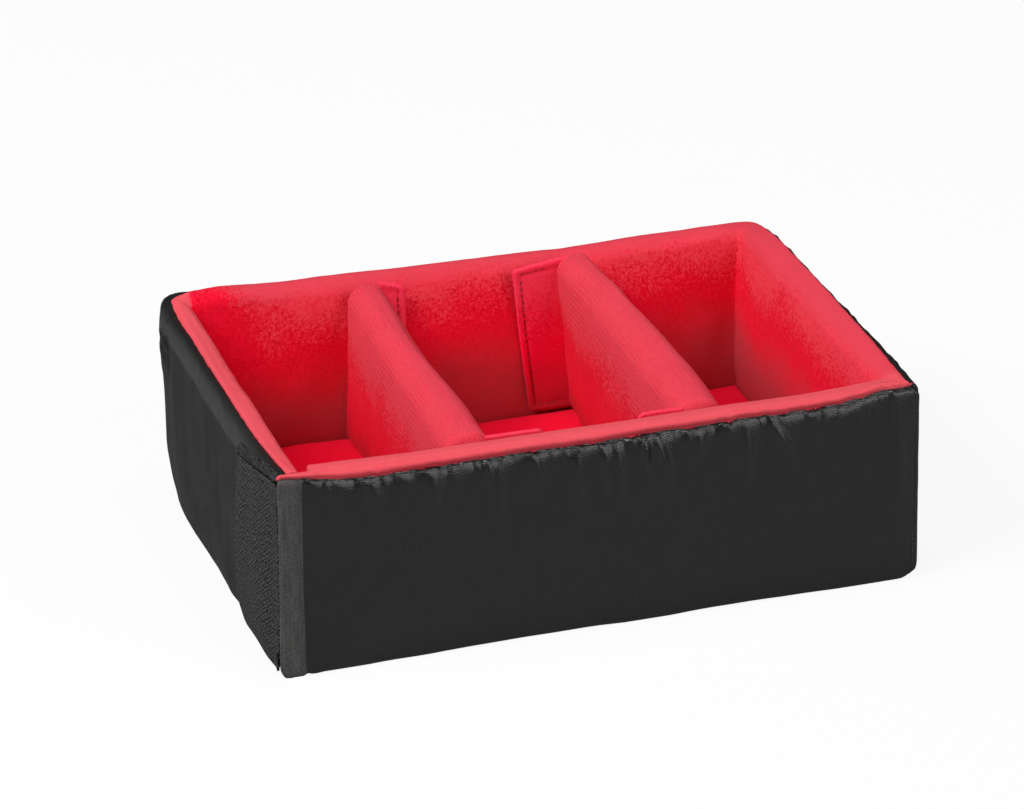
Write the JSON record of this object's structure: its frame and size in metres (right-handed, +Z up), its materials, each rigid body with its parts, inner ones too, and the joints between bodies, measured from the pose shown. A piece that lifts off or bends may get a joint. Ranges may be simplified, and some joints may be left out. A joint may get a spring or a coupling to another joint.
{
  "type": "case divider set",
  "caption": "Open-topped padded tray for a hard equipment case: a belt of padded walls that closes with hook tape, a loose base pad and sliding padded dividers held by hook flaps.",
  "frame": {"origin": "centre of the underside of the bounding box, on the surface that the tray stands on", "axes": "+X along the long walls towards the sewn front right corner, +Y from the front wall to the back wall, +Z up"},
  "size_m": [0.27, 0.19, 0.0873],
  "materials": {
    "black_nylon": "tightly woven black nylon with a satin sheen",
    "red_fleece": "brushed red loop fleece, matt with a fine pile",
    "grey_foam": "closed-cell grey polyethylene foam, hidden inside the fabrics",
    "hook_tape": "woven black hook-and-loop tape, dull"
  },
  "bodies": {
    "base_pad": {"base_foam": "grey_foam", "base_cover": "black_nylon", "base_lining": "red_fleece"},
    "wall_belt": {"left_wall_foam": "grey_foam", "left_wall_cover": "black_nylon", "left_wall_lining": "red_fleece", "back_wall_foam": "grey_foam", "back_wall_cover": "black_nylon", "back_wall_lining": "red_fleece", "right_wall_foam": "grey_foam", "right_wall_cover": "black_nylon", "right_wall_lining": "red_fleece", "front_right_seam": "black_nylon", "left_wall_loop_patch": "hook_tape"},
    "front_wall": {"front_wall_foam": "grey_foam", "front_wall_cover": "black_nylon", "front_wall_lining": "red_fleece", "closure_band": "black_nylon"},
    "closure_flap": {"closure_tape": "hook_tape", "closure_hooks": "hook_tape"},
    "left_divider": {"left_divider_foam": "grey_foam", "left_divider_sleeve": "red_fleece"},
    "right_divider": {"right_divider_foam": "grey_foam", "right_divider_sleeve": "red_fleece"},
    "left_divider_back_flap_body": {"left_divider_back_flap": "red_fleece", "left_divider_back_hooks": "hook_tape"},
    "left_divider_front_flap_body": {"left_divider_front_flap": "red_fleece", "left_divider_front_hooks": "hook_tape"},
    "right_divider_back_flap_body": {"right_divider_back_flap": "red_fleece", "right_divider_back_hooks": "hook_tape"},
    "right_divider_front_flap_body": {"right_divider_front_flap": "red_fleece", "right_divider_front_hooks": "hook_tape"}
  },
  "joints": [
    {"name": "belt_lift", "type": "slide", "parent": "base_pad", "child": "wall_belt", "axis": [0, 0, 1], "range_m": [0, 0.1]},
    {"name": "front_wall_swing", "type": "hinge", "parent": "wall_belt", "child": "front_wall", "pos_m": [0.1341, -0.0941, 0.0435], "axis": [0, 0, 1], "range_deg": [0, 100]},
    {"name": "closure_peel", "type": "hinge", "parent": "front_wall", "child": "closure_flap", "pos_m": [-0.135, -0.0935, 0.0435], "axis": [0, 0, 1], "range_deg": [0, 150]},
    {"name": "left_divider_slide", "type": "slide", "parent": "wall_belt", "child": "left_divider", "axis": [1, 0, 0], "range_m": [-0.055, 0.018]},
    {"name": "right_divider_slide", "type": "slide", "parent": "wall_belt", "child": "right_divider", "axis": [1, 0, 0], "range_m": [-0.016, 0.055]},
    {"name": "left_divider_back_flap_peel", "type": "hinge", "parent": "left_divider", "child": "left_divider_back_flap_body", "pos_m": [-0.0363, 0.0786, 0.05], "axis": [0, 0, -1], "range_deg": [0, 75]},
    {"name": "left_divider_front_flap_peel", "type": "hinge", "parent": "left_divider", "child": "left_divider_front_flap_body", "pos_m": [-0.04213, -0.0786, 0.05], "axis": [0, 0, 1], "range_deg": [0, 75]},
    {"name": "right_divider_back_flap_peel", "type": "hinge", "parent": "right_divider", "child": "right_divider_back_flap_body", "pos_m": [0.04068, 0.0786, 0.05], "axis": [0, 0, 1], "range_deg": [0, 75]},
    {"name": "right_divider_front_flap_peel", "type": "hinge", "parent": "right_divider", "child": "right_divider_front_flap_body", "pos_m": [0.03596, -0.0786, 0.05], "axis": [0, 0, -1], "range_deg": [0, 75]}
  ]
}
